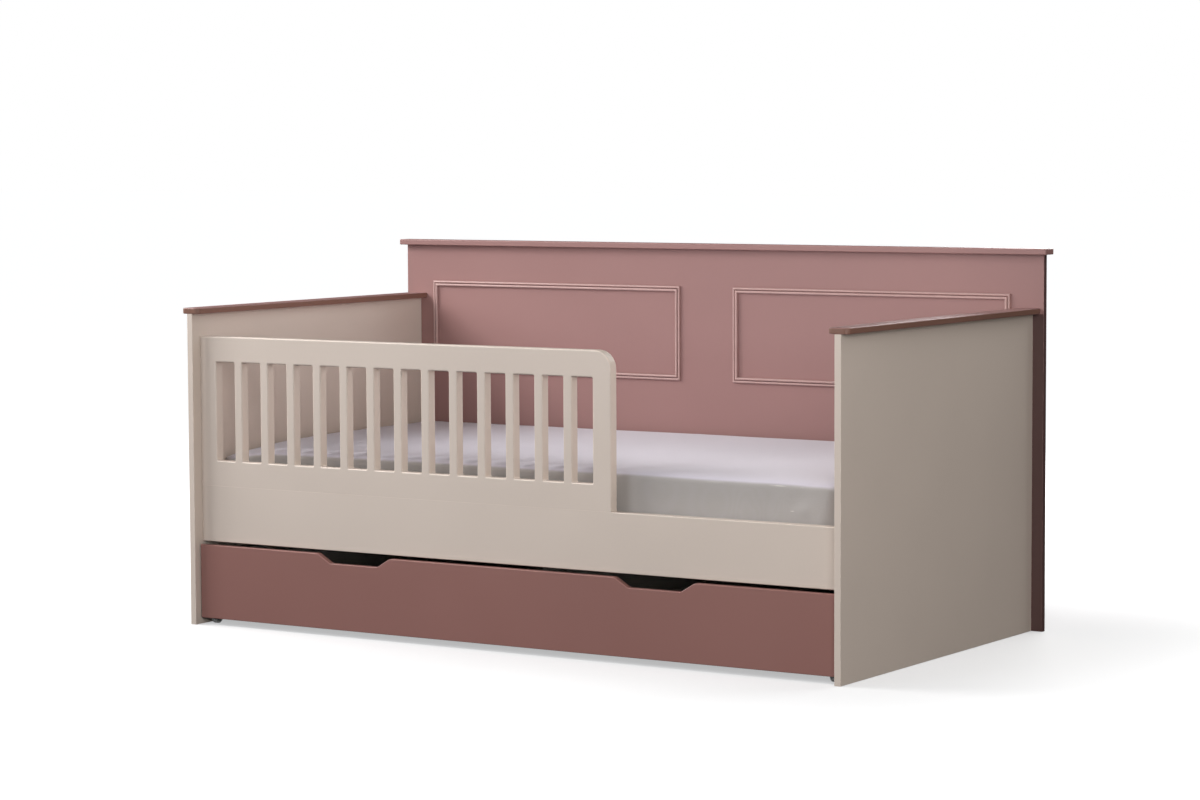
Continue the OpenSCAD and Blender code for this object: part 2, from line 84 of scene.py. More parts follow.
def node(nt, kind, **values):
    n = nt.nodes.new(kind)
    for k, v in values.items():
        if k in n.inputs.keys():
            n.inputs[k].default_value = v
        else:
            setattr(n, k, v)
    return n


def coords(nt, scale=(1, 1, 1), per_island=0.0):
    """Object coordinates, stretched by scale, and shifted at random for each separate solid."""
    tc = node(nt, "ShaderNodeTexCoord")
    mp = node(nt, "ShaderNodeMapping")
    mp.inputs["Scale"].default_value = scale
    nt.links.new(tc.outputs["Object"], mp.inputs["Vector"])
    if per_island:
        geo = node(nt, "ShaderNodeNewGeometry")
        mul = node(nt, "ShaderNodeVectorMath", operation="SCALE")
        mul.inputs[0].default_value = (1.0, 1.7, 2.3)
        k = node(nt, "ShaderNodeMath", operation="MULTIPLY")
        k.inputs[1].default_value = per_island
        nt.links.new(geo.outputs["Random Per Island"], k.inputs[0])
        nt.links.new(k.outputs[0], mul.inputs["Scale"])
        nt.links.new(mul.outputs[0], mp.inputs["Location"])
    return mp.outputs[0]


def tex_noise(nt, vec, scale, detail=3.0, rough=0.5, distort=0.0):
    n = node(nt, "ShaderNodeTexNoise")
    n.inputs["Scale"].default_value = scale
    n.inputs["Detail"].default_value = detail
    n.inputs["Roughness"].default_value = rough
    n.inputs["Distortion"].default_value = distort
    nt.links.new(vec, n.inputs["Vector"])
    return n.outputs["Fac"] if "Fac" in n.outputs.keys() else n.outputs[0]


def ramp(nt, fac, stops, kind="LINEAR"):
    r = node(nt, "ShaderNodeValToRGB")
    r.color_ramp.interpolation = kind
    e = r.color_ramp.elements
    while len(e) < len(stops):
        e.new(0.5)
    for el, (pos, col) in zip(e, stops):
        el.position = pos
        el.color = (*col, 1.0) if hasattr(col, "__len__") else (col, col, col, 1.0)
    nt.links.new(fac, r.inputs[0])
    return r.outputs[0]


def mix(nt, fac, a, b, mode="MIX"):
    m = node(nt, "ShaderNodeMix", data_type="RGBA", blend_type=mode)
    for sock, v in ((m.inputs[0], fac), (m.inputs[6], a), (m.inputs[7], b)):
        if hasattr(v, "is_linked"):
            nt.links.new(v, sock)
        elif hasattr(v, "__len__"):
            sock.default_value = (*v, 1.0)
        else:
            sock.default_value = v
    return m.outputs[2]


def math_node(nt, op, a, b=0.0, clamp=False):
    m = node(nt, "ShaderNodeMath", operation=op, use_clamp=clamp)
    for sock, v in ((m.inputs[0], a), (m.inputs[1], b)):
        if hasattr(v, "is_linked"):
            nt.links.new(v, sock)
        else:
            sock.default_value = v
    return m.outputs[0]


def bump(nt, height, distance, strength=1.0, normal=None):
    b = node(nt, "ShaderNodeBump")
    b.inputs["Strength"].default_value = strength
    b.inputs["Distance"].default_value = distance
    nt.links.new(height, b.inputs["Height"])
    if normal is not None:
        nt.links.new(normal, b.inputs["Normal"])
    return b.outputs[0]


def shade(c, k):
    return tuple(max(0.0, min(1.0, x * k)) for x in c)


def lacquer(name, base, edge, rough=0.40, shade_band=None, rub_and_highlight=0.25):
    """Sprayed satin lacquer on fibreboard: faint mottling, orange peel, and arrises lightened by rubbed wear plus a
    painted highlight.
    The fifth argument, if given, is (axis, upright, colour[, (x, z)]): painted shade, a darker colour on the faces
    turned along that axis (across it when upright), and on the front-face lip beyond x below z."""
    m, nt, b = material(name)
    v = coords(nt, per_island=3.0)
    broad = tex_noise(nt, v, 2.2, 2.0)
    fine = tex_noise(nt, v, 140.0, 3.0, 0.6)
    col = mix(nt, ramp(nt, broad, [(0.30, 0.0), (0.70, 1.0)]), shade(base, 0.972), shade(base, 1.026))
    col = mix(nt, ramp(nt, fine, [(0.35, 0.0), (0.65, 1.0)]), col, shade(base, 1.05), "MIX")
    # keep the fine speckle faint
    col2 = mix(nt, 0.16, mix(nt, ramp(nt, broad, [(0.30, 0.0), (0.70, 1.0)]), shade(base, 0.972), shade(base, 1.026)), col)
    # painted shade: the faces picked by the axis take the darker colour
    if shade_band:
        axis, upright, tone = shade_band[:3]
        sep = node(nt, "ShaderNodeSeparateXYZ")
        nt.links.new(node(nt, "ShaderNodeNewGeometry").outputs["Normal"], sep.inputs[0])
        turn = math_node(nt, "ABSOLUTE", sep.outputs[axis])
        shade_mask = ramp(nt, turn, [(0.45, 1.0), (0.85, 0.0)] if upright else [(0.55, 0.0), (0.90, 1.0)])
        if len(shade_band) > 3:
            # painted shade on the lip beside the end panels, below their tops, on the front face
            at_x, at_z = shade_band[3]
            pos = node(nt, "ShaderNodeSeparateXYZ")
            nt.links.new(node(nt, "ShaderNodeTexCoord").outputs["Object"], pos.inputs[0])
            lip = math_node(nt, "GREATER_THAN", math_node(nt, "ABSOLUTE", pos.outputs["X"]), at_x)
            lip = math_node(nt, "MULTIPLY", lip, math_node(nt, "LESS_THAN", pos.outputs["Z"], at_z))
            lip = math_node(nt, "MULTIPLY", lip, math_node(nt, "LESS_THAN", sep.outputs["Y"], 0.5))
            shade_mask = math_node(nt, "MAXIMUM", shade_mask, lip)
        col2 = mix(nt, shade_mask, col2, mix(nt, ramp(nt, broad, [(0.3, 0.0), (0.7, 1.0)]), shade(tone, 0.95), shade(tone, 1.05)))
    # arris lightening: rubbed wear broken up by noise, plus a painted highlight where the edge weight marks arrises
    # turned to the lights
    at = node(nt, "ShaderNodeAttribute", attribute_name="edge")
    wear_and_highlight = math_node(nt, "MULTIPLY", at.outputs["Fac"], ramp(nt, tex_noise(nt, v, 26.0, 4.0, 0.65), [(0.38, rub_and_highlight), (0.72, 1.0)]))
    col3 = mix(nt, math_node(nt, "MULTIPLY", wear_and_highlight, 0.80), col2, edge)
    nt.links.new(col3, b.inputs["Base Color"])
    rr = ramp(nt, tex_noise(nt, v, 9.0, 4.0, 0.6), [(0.25, rough - 0.045), (0.75, rough + 0.055)])
    rr2 = math_node(nt, "SUBTRACT", rr, math_node(nt, "MULTIPLY", wear_and_highlight, 0.06))
    nt.links.new(rr2, b.inputs["Roughness"])
    peel = tex_noise(nt, v, 620.0, 2.0, 0.55)
    wave = tex_noise(nt, v, 34.0, 2.0, 0.5)
    n1 = bump(nt, wave, 0.00022, 0.35)
    n2 = bump(nt, peel, 0.00006, 0.30, n1)
    nt.links.new(n2, b.inputs["Normal"])
    b.inputs["IOR"].default_value = 1.45
    b.inputs["Specular IOR Level"].default_value = 0.36
    b.inputs["Coat Weight"].default_value = 0.15
    b.inputs["Coat Roughness"].default_value = 0.36
    return m


def melamine(name, base):
    """Melamine-faced board with a fine pressed grain along Y."""
    m, nt, b = material(name)
    v = coords(nt, (46.0, 1.6, 46.0), per_island=2.0)
    w = coords(nt, per_island=2.0)
    pores = tex_noise(nt, v, 9.0, 5.0, 0.7)
    cloud = tex_noise(nt, w, 3.0, 2.0)
    col = mix(nt, ramp(nt, pores, [(0.30, 0.0), (0.62, 1.0)]), shade(base, 0.90), shade(base, 1.02))
    col = mix(nt, ramp(nt, cloud, [(0.3, 0.0), (0.7, 0.5)]), col, shade(base, 0.955))
    nt.links.new(col, b.inputs["Base Color"])
    nt.links.new(ramp(nt, pores, [(0.3, 0.56), (0.7, 0.42)]), b.inputs["Roughness"])
    nt.links.new(bump(nt, pores, 0.00009, 0.45), b.inputs["Normal"])
    b.inputs["Specular IOR Level"].default_value = 0.45
    return m


def softwood(name, light, dark, along="y", knots=True, rough=0.62):
    """Planed softwood: growth rings stretched along the board, fine rays, a few knots."""
    m, nt, b = material(name)
    s = {"x": (0.55, 9.0, 9.0), "y": (9.0, 0.55, 9.0), "z": (9.0, 9.0, 0.55)}[along]
    f = {"x": (3.0, 320.0, 320.0), "y": (320.0, 3.0, 320.0), "z": (320.0, 320.0, 3.0)}[along]
    v = coords(nt, s, per_island=21.0)
    vf = coords(nt, f, per_island=9.0)
    wave = node(nt, "ShaderNodeTexWave", wave_type="RINGS", rings_direction="SPHERICAL")
    wave.inputs["Scale"].default_value = 2.6
    wave.inputs["Distortion"].default_value = 5.5
    wave.inputs["Detail"].default_value = 3.0
    wave.inputs["Detail Scale"].default_value = 1.1
    nt.links.new(v, wave.inputs["Vector"])
    rings = wave.outputs["Fac"]
    fibre = tex_noise(nt, vf, 1.0, 3.0, 0.6)
    col = mix(nt, ramp(nt, rings, [(0.18, 0.0), (0.85, 1.0)]), light, dark)
    col = mix(nt, ramp(nt, fibre, [(0.35, 0.0), (0.75, 0.55)]), col, shade(dark, 0.78))
    if knots:
        vk = coords(nt, {"x": (2.2, 6.0, 6.0), "y": (6.0, 2.2, 6.0), "z": (6.0, 6.0, 2.2)}[along], per_island=5.0)
        vor = node(nt, "ShaderNodeTexVoronoi")
        vor.inputs["Scale"].default_value = 1.15
        nt.links.new(vk, vor.inputs["Vector"])
        kn = ramp(nt, vor.outputs["Distance"], [(0.045, 1.0), (0.115, 0.0)])
        col = mix(nt, kn, col, shade(dark, 0.38))
    nt.links.new(col, b.inputs["Base Color"])
    nt.links.new(ramp(nt, rings, [(0.2, rough + 0.06), (0.9, rough - 0.06)]), b.inputs["Roughness"])
    n1 = bump(nt, rings, 0.00016, 0.4)
    nt.links.new(bump(nt, fibre, 0.0001, 0.4, n1), b.inputs["Normal"])
    b.inputs["Specular IOR Level"].default_value = 0.35
    return m


def metal(name, base, rough, scale=(90.0, 90.0, 90.0)):
    """Zinc-plated steel with fine spangle and handling marks."""
    m, nt, b = material(name)
    v = coords(nt, scale, per_island=4.0)
    sp = tex_noise(nt, v, 4.0, 4.0, 0.65)
    col = mix(nt, ramp(nt, sp, [(0.3, 0.0), (0.7, 1.0)]), shade(base, 0.82), shade(base, 1.08))
    nt.links.new(col, b.inputs["Base Color"])
    b.inputs["Metallic"].default_value = 1.0
    nt.links.new(ramp(nt, sp, [(0.25, rough + 0.12), (0.75, rough - 0.08)]), b.inputs["Roughness"])
    nt.links.new(bump(nt, tex_noise(nt, v, 22.0, 2.0), 0.00003, 0.5), b.inputs["Normal"])
    return m


def powder_coat(name, base):
    m, nt, b = material(name)
    v = coords(nt, per_island=1.0)
    g = tex_noise(nt, v, 1500.0, 2.0, 0.6)
    col = mix(nt, ramp(nt, tex_noise(nt, v, 60.0), [(0.3, 0.0), (0.7, 1.0)]), shade(base, 0.8), shade(base, 1.35))
    nt.links.new(col, b.inputs["Base Color"])
    nt.links.new(ramp(nt, g, [(0.3, 0.50), (0.7, 0.38)]), b.inputs["Roughness"])
    nt.links.new(bump(nt, g, 0.00007, 0.55), b.inputs["Normal"])
    return m


def moulded_plastic(name, base):
    m, nt, b = material(name)
    v = coords(nt, per_island=1.0)
    col = mix(nt, ramp(nt, tex_noise(nt, v, 70.0, 4.0), [(0.35, 0.0), (0.7, 1.0)]), shade(base, 0.93), shade(base, 1.04))
    nt.links.new(col, b.inputs["Base Color"])
    nt.links.new(ramp(nt, tex_noise(nt, v, 240.0, 3.0), [(0.3, 0.46), (0.7, 0.34)]), b.inputs["Roughness"])
    nt.links.new(bump(nt, tex_noise(nt, v, 1200.0), 0.00003, 0.4), b.inputs["Normal"])
    b.inputs["Subsurface Weight"].default_value = 0.05
    b.inputs["Subsurface Radius"].default_value = (0.002, 0.002, 0.002)
    return m


def woven(name, base, thread, sheen, tint=(1, 1, 1), rough=0.86, side_shade=None):
    """Plain-weave cotton: crossing threads, slubs, and a soft sheen. The last argument, if given, is a darker,
    greyer colour painted on the upright sides as painted shade.
    """
    m, nt, b = material(name)
    v = coords(nt)
    waves = []
    for d in ("X", "Y", "Z"):
        w = node(nt, "ShaderNodeTexWave", wave_type="BANDS", bands_direction=d, wave_profile="SIN")
        w.inputs["Scale"].default_value = math.pi / (10.0 * thread)
        w.inputs["Distortion"].default_value = 0.6
        w.inputs["Detail"].default_value = 1.0
        w.inputs["Detail Scale"].default_value = 0.3
        nt.links.new(v, w.inputs["Vector"])
        waves.append(w.outputs["Fac"])
    weave = math_node(nt, "MULTIPLY", math_node(nt, "MAXIMUM", waves[0], waves[2]), waves[1])
    slub = tex_noise(nt, coords(nt, (1.0, 14.0, 14.0)), 22.0, 3.0, 0.6)
    cloud = tex_noise(nt, v, 3.4, 3.0, 0.5)
    col = mix(nt, ramp(nt, cloud, [(0.3, 0.0), (0.7, 1.0)]), shade(base, 0.965), tuple(x * y for x, y in zip(base, tint)))
    col = mix(nt, ramp(nt, slub, [(0.35, 0.0), (0.8, 0.35)]), col, shade(base, 0.93))
    if side_shade:
        # painted shade: the upright sides take the darker, greyer side colour
        at = node(nt, "ShaderNodeAttribute", attribute_name="side_shade")
        panel = mix(nt, ramp(nt, slub, [(0.35, 0.0), (0.8, 0.4)]), side_shade, shade(side_shade, 0.94))
        col = mix(nt, at.outputs["Fac"], col, panel)
    col = mix(nt, math_node(nt, "MULTIPLY", math_node(nt, "SUBTRACT", 1.0, weave), 0.10), col, shade(base, 0.80))
    nt.links.new(col, b.inputs["Base Color"])
    nt.links.new(ramp(nt, slub, [(0.3, rough + 0.04), (0.8, rough - 0.06)]), b.inputs["Roughness"])
    crumple = tex_noise(nt, v, 11.0, 4.0, 0.55, 0.4)
    n1 = bump(nt, crumple, 0.0022, 0.32)
    n2 = bump(nt, weave, thread * 0.22, 0.55, n1)
    nt.links.new(n2, b.inputs["Normal"])
    b.inputs["Sheen Weight"].default_value = sheen
    b.inputs["Sheen Roughness"].default_value = 0.55
    b.inputs["Specular IOR Level"].default_value = 0.2
    return m


BEIGE = (0.709, 0.606, 0.529)
ROSE = (0.353, 0.195, 0.182)
PLUM = (0.313, 0.152, 0.131)
# each lacquer's third colour is its arris colour: rubbed wear plus a painted highlight
M = {
    "beige": lacquer("beige_lacquer", BEIGE, shade(BEIGE, 1.32), 0.42),
    "pink": lacquer("rose_lacquer", ROSE, shade(ROSE, 1.45), 0.42),
    # cap: painted shade, its upright faces take a darker brown
    "cap": lacquer("rose_cap_lacquer", ROSE, shade(ROSE, 1.15), 0.42, ("Z", True, (0.232, 0.118, 0.086))),
    # back: painted shade on its end faces and on its front lip beyond the end panels
    "back": lacquer("rose_back_lacquer", ROSE, shade(ROSE, 1.30), 0.42, ("X", False, shade(ROSE, 0.32), (hi("right_end_panel").x, hi("right_end_panel").z))),
    # bead: a lighter copy of the rose with its crests painted light, a painted highlight
    "bead": lacquer("rose_bead_lacquer", shade(ROSE, 1.08), (0.60, 0.41, 0.38), 0.38, None, 0.8),
    "plum": lacquer("plum_lacquer", PLUM, shade(PLUM, 1.45), 0.42),
    "board": melamine("drawer_board", (0.70, 0.675, 0.63)),
    "pine_y": softwood("pine_slats", (0.68, 0.49, 0.29), (0.50, 0.31, 0.15), "y"),
    "pine_x": softwood("pine_ledgers", (0.68, 0.49, 0.29), (0.50, 0.31, 0.15), "x"),
    "beech": softwood("beech_dowels", (0.58, 0.40, 0.25), (0.46, 0.29, 0.16), "z", False, 0.55),
    "zinc": metal("zinc_steel", (0.60, 0.61, 0.63), 0.34),
    "black": powder_coat("black_steel", (0.011, 0.011, 0.012)),
    "wheel": moulded_plastic("wheel_plastic", (0.74, 0.74, 0.73)),
    # sheet: its upright sides painted a darker grey as painted shade
    "sheet": woven("sheet_cotton", (0.690, 0.645, 0.717), 0.00045, 0.30, (1.0, 0.995, 1.0), side_shade=(0.443, 0.410, 0.384)),
    "ticking": woven("mattress_ticking", (0.72, 0.70, 0.66), 0.0011, 0.12, (1.0, 0.98, 0.95)),
}


# ---------------------------------------------------------------- mesh tools

AXES = {"x": (1, 2, 0), "y": (0, 2, 1), "z": (0, 1, 2)}


def spot(axis, u, v, w):
    p = [0.0, 0.0, 0.0]
    a, b, c = AXES[axis]
    p[a], p[b], p[c] = u, v, w
    return Vector(p)


def area2(loop):
    return sum(loop[i - 1][0] * loop[i][1] - loop[i][0] * loop[i - 1][1] for i in range(len(loop)))


def rounded(points, r_edge):
    """Loop with in-plane corner radii. points are (u, v, corner radius), or (u, v, corner radius, edge radius)."""
    out, n = [], len(points)
    for i, p in enumerate(points):
        r = p[3] if len(p) > 3 else r_edge
        c0, radius = Vector(p[:2]), p[2]
        if radius <= 0:
            out.append((p[0], p[1], r))
            continue
        a = (Vector(points[i - 1][:2]) - c0).normalized()
        b = (Vector(points[(i + 1) % n][:2]) - c0).normalized()
        ang = math.acos(max(-1.0, min(1.0, a.dot(b))))
        s, e = c0 + a * (radius / math.tan(ang / 2)), c0 + b * (radius / math.tan(ang / 2))
        c = c0 + (a + b).normalized() * (radius / math.sin(ang / 2))
        a0 = math.atan2(s.y - c.y, s.x - c.x)
        d = (math.atan2(e.y - c.y, e.x - c.x) - a0 + math.pi) % (2 * math.pi) - math.pi
        k = max(4, int(abs(d) / math.radians(7.5)))
        out += [(c.x + radius * math.cos(a0 + d * j / k), c.y + radius * math.sin(a0 + d * j / k), r) for j in range(k + 1)]
    return out


def circle(cu, cv, r, n=28):
    return [(cu + r * math.cos(2 * math.pi * i / n), cv + r * math.sin(2 * math.pi * i / n)) for i in range(n)]


def plate(bm, axis, a, b, outer, holes=(), seg=4, pockets=()):
    """Board between a and b along axis, with eased arrises all round its outline and its holes.
    pockets are (side, (u, v), [(radius, depth), ...]) blind holes in the a or the b face."""
    edge = bm.verts.layers.float.get("edge") or bm.verts.layers.float.new("edge")
    loops = []
    for i, lp in enumerate([outer, *holes]):
        lp = list(lp)
        if (area2(lp) > 0) != (i == 0):
            lp.reverse()
        loops.append(lp)
    ends = {"a": [], "b": []}
    for lp in loops:
        n = len(lp)
        miter = []
        for i in range(n):
            p0, p1, p2 = Vector(lp[i - 1][:2]), Vector(lp[i][:2]), Vector(lp[(i + 1) % n][:2])
            d1, d2 = (p1 - p0).normalized(), (p2 - p1).normalized()
            n1, n2 = Vector((-d1.y, d1.x)), Vector((-d2.y, d2.x))
            miter.append((n1 + n2) / max(0.35, 1 + n1.dot(n2)))
        rings = []
        steps = [("a", k) for k in range(seg + 1)] + [("b", k) for k in range(seg, -1, -1)]
        for side, k in steps:
            t = k / seg * math.pi / 2
            ring = []
            for (u, v, r), m in zip(lp, miter):
                r = max(r, 0.00012)
                d, h = r * (1 - math.sin(t)), r * (1 - math.cos(t))
                w = a + h if side == "a" else b - h
                vert = bm.verts.new(spot(axis, u + m.x * d, v + m.y * d, w))
                # painted highlight: on boards facing along y only the arrises turned left or up, towards the key
                # lights, take the full edge lightening; the rest take 0.3
                rub_and_highlight = 1.0 if axis != "y" or m.x > 0.5 or m.y < -0.5 else 0.3
                vert[edge] = rub_and_highlight * math.sin(2 * t) if r > 0.0004 else 0.0
                ring.append(vert)
            rings.append(ring)
        for r0, r1 in zip(rings, rings[1:]):
            for i in range(n):
                bm.faces.new((r0[i - 1], r0[i], r1[i], r1[i - 1]))
        ends["a"].append(rings[0])
        ends["b"].append(rings[-1])
    for side, (u, v), steps in pockets:
        face, sign = (a, 1) if side == "a" else (b, -1)
        rings = [[bm.verts.new(spot(axis, x, y, face + sign * depth)) for x, y in circle(u, v, r)] for r, depth in steps]
        for r0, r1 in zip(rings, rings[1:]):
            for i in range(len(r0)):
                bm.faces.new((r0[i - 1], r0[i], r1[i], r1[i - 1]))
        bm.faces.new(rings[-1])
        ends[side].append(rings[0])
    for side in "ab":
        flat = [v for ring in ends[side] for v in ring]
        c = AXES[axis]
        polys = [[Vector((v.co[c[0]], v.co[c[1]], 0.0)) for v in ring] for ring in ends[side]]
        for tri in tessellate_polygon(polys):
            try:
                bm.faces.new([flat[i] for i in tri])
            except ValueError:
                pass


def box_plate(bm, axis, p, q, r, seg=3, holes=(), pockets=(), corner=0.0):
    """Rectangular board from corner p to corner q."""
    u, v, w = AXES[axis]
    lp = rounded([(p[u], p[v], corner), (q[u], p[v], corner), (q[u], q[v], corner), (p[u], q[v], corner)], r)
    plate(bm, axis, p[w], q[w], lp, holes, seg, pockets)


def finish_mesh(name, bm, mat, body, replaces=(), weld=0.0, sharp=38.0, weighted=True):
    if weld:
        bmesh.ops.remove_doubles(bm, verts=bm.verts, dist=weld)
    bmesh.ops.recalc_face_normals(bm, faces=bm.faces)
    me = bpy.data.meshes.new(name)
    bm.to_mesh(me)
    bm.free()
    me.polygons.foreach_set("use_smooth", [True] * len(me.polygons))
    me.set_sharp_from_angle(angle=math.radians(sharp))
    me.materials.append(mat)
    o = bpy.data.objects.new(name, me)
    scene.collection.objects.link(o)
    if weighted:
        w = o.modifiers.new("weighted", "WEIGHTED_NORMAL")
        w.weight = 90
        w.keep_sharp = True
    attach(o, body)
    if replaces:
        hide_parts(*replaces)
    return o


def islands(name):
    """The separate solids of a CAD node, each as an array of its points."""
    bm = bmesh.new()
    bm.from_mesh(NODES[name].data)
    bmesh.ops.remove_doubles(bm, verts=bm.verts, dist=1e-6)
    seen, out = set(), []
    for v in bm.verts:
        if v in seen:
            continue
        stack, got = [v], []
        seen.add(v)
        while stack:
            x = stack.pop()
            got.append(tuple(x.co))
            for e in x.link_edges:
                y = e.other_vert(x)
                if y not in seen:
                    seen.add(y)
                    stack.append(y)
        out.append(np.array(got))
    bm.free()
    return out


def revolve(bm, matrix, profile, n=28, close_start=True, close_end=True):
    """Turned solid from (radius, height) points along the local Z of matrix."""
    rings = []
    for r, h in profile:
        if r <= 0:
            rings.append([bm.verts.new(matrix @ Vector((0, 0, h)))])
        else:
            rings.append([bm.verts.new(matrix @ Vector((r * math.cos(2 * math.pi * i / n), r * math.sin(2 * math.pi * i / n), h))) for i in range(n)])
    for r0, r1 in zip(rings, rings[1:]):
        for i in range(n):
            if len(r0) == 1 and len(r1) == 1:
                continue
            if len(r0) == 1:
                bm.faces.new((r0[0], r1[i], r1[i - 1]))
            elif len(r1) == 1:
                bm.faces.new((r0[i - 1], r0[i], r1[0]))
            else:
                bm.faces.new((r0[i - 1], r0[i], r1[i], r1[i - 1]))
    if close_start and len(rings[0]) > 1:
        bm.faces.new(rings[0])
    if close_end and len(rings[-1]) > 1:
        bm.faces.new(rings[-1])
    return rings


def screw(bm, matrix, length, shank, head, kind):
    """Screw along local -Z with its head at z = 0 (countersunk) or above it (pan), and a cross recess."""
    n = 28
    top = 0.0
    if kind == "csk":
        prof = [(0.0, -length), (shank * 0.35, -length + shank * 1.6), (shank, -length + shank * 4.2)]
        prof += [(shank, -(head - shank)), (head - 0.00018, -0.00018), (head - 0.0003, 0.0)]
    else:
        top = head * 0.5
        prof = [(0.0, -length), (shank * 0.35, -length + shank * 1.6), (shank, -length + shank * 4.2), (shank, 0.0), (head * 0.97, 0.0), (head, top * 0.12)]
        prof += [(head * math.cos(t * math.pi / 180), top * (0.12 + 0.88 * math.sin(t * math.pi / 180) ** 1.2)) for t in (22, 42, 58)]
        prof += [(head * 0.44, top * 0.995)]
        top = prof[-1][1]
    rings = revolve(bm, matrix, prof, n, False, False)
    rim = rings[-1]
    arm, half = min(prof[-1][0] * 0.86, head * 0.52 if kind == "csk" else prof[-1][0] * 0.86), head * 0.085

    def cross(k, z):
        a, w = arm * k, half * (0.6 + 0.4 * k)
        pts = [(a, -w), (a, w), (w, w), (w, a), (-w, a), (-w, w), (-a, w), (-a, -w), (-w, -w), (-w, -a), (w, -a), (w, -w)]
        return [bm.verts.new(matrix @ Vector((x, y, z))) for x, y in pts], [Vector((x, y, 0)) for x, y in pts]
    c0, p0 = cross(1.0, top)
    c1, p1 = cross(0.45, top - head * 0.5)
    rim2 = [Vector((prof[-1][0] * math.cos(2 * math.pi * i / n), prof[-1][0] * math.sin(2 * math.pi * i / n), 0)) for i in range(n)]
    both = rim + c0
    for tri in tessellate_polygon([rim2, p0]):
        bm.faces.new([both[i] for i in tri])
    for i in range(12):
        bm.faces.new((c0[i - 1], c0[i], c1[i], c1[i - 1]))
    for tri in tessellate_polygon([p1]):
        bm.faces.new([c1[i] for i in tri])


def screws(name, node_name, kind, body, grip=0.0):
    """Detailed screws in the places of a CAD node's plain ones."""
    bm = bmesh.new()
    for pts in islands(node_name):
        low, high = pts.min(0), pts.max(0)
        ax = int(np.argmax(high - low))
        mid = (low + high) / 2
        oth = [i for i in range(3) if i != ax]

        def spread(end):
            near = pts[np.abs(pts[:, ax] - end) < 1e-5]
            return float(np.abs(near[:, oth] - mid[oth]).max())
        s_lo, s_hi = spread(low[ax]), spread(high[ax])
        up = s_hi > s_lo
        direction = Vector([0, 0, 0])
        direction[ax] = 1.0 if up else -1.0
        head = float((high - low)[oth].max()) / 2
        shank = min(s_lo, s_hi)
        rise = 0.0
        if kind == "pan":
            # the head's height is where the wide part starts
            wide = pts[np.linalg.norm(pts[:, oth] - mid[oth], axis=1) > head * 0.95]
            rise = float(wide[:, ax].max() - wide[:, ax].min())
        place = Vector(mid)
        place[ax] = (high[ax] - rise) if up else (low[ax] + rise)
        turn = direction.to_track_quat("Z", "Y").to_matrix().to_4x4()
        spin = Matrix.Rotation(noise.noise(place * 37.0) * 3.0, 4, "Z")
        screw(bm, Matrix.Translation(place) @ turn @ spin, float((high - low)[ax]) - rise, shank, head, kind)
    return finish_mesh(name, bm, M["zinc"], body, [node_name], sharp=32.0)


# ---------------------------------------------------------------- bed frame

def end_board(side):
    n = f"{side}_end_panel"
    bm = bmesh.new()
    box_plate(bm, "x", lo(n), hi(n), 0.0011, 3)
    return finish_mesh(f"{side}_end_board", bm, M["beige"], "bed_frame", [n])


def end_capping(side):
    n = f"{side}_end_cap"
    p, q = lo(n), hi(n)
    bm = bmesh.new()
    lp = rounded([(p.x, p.y, 0.015), (q.x, p.y, 0.015), (q.x, q.y, 0.0), (p.x, q.y, 0.0)], 0.0028)
    plate(bm, "z", p.z, q.z, lp, seg=6)
    return finish_mesh(f"{side}_end_capping", bm, M["cap"], "bed_frame", [n])


for side in ("left", "right"):
    end_board(side)
    end_capping(side)

# back board, with countersinks in its rear face
p, q = lo("back_panel"), hi("back_panel")
holes = []
for pts in islands("back_panel_screws"):
    c = (pts.min(0) + pts.max(0)) / 2
    holes.append(("b", (float(c[0]), float(c[2])), [(0.00605, 0.0), (0.0036, 0.0026), (0.0036, 0.0150)]))
bm = bmesh.new()
box_plate(bm, "y", p, q, 0.0011, 3, pockets=holes)
finish_mesh("back_board", bm, M["back"], "bed_frame", ["back_panel"])

p, q = lo("back_cap"), hi("back_cap")
bm = bmesh.new()
box_plate(bm, "z", p, q, 0.0026, 6, corner=0.0035)
finish_mesh("back_capping", bm, M["pink"], "bed_frame", ["back_cap"])


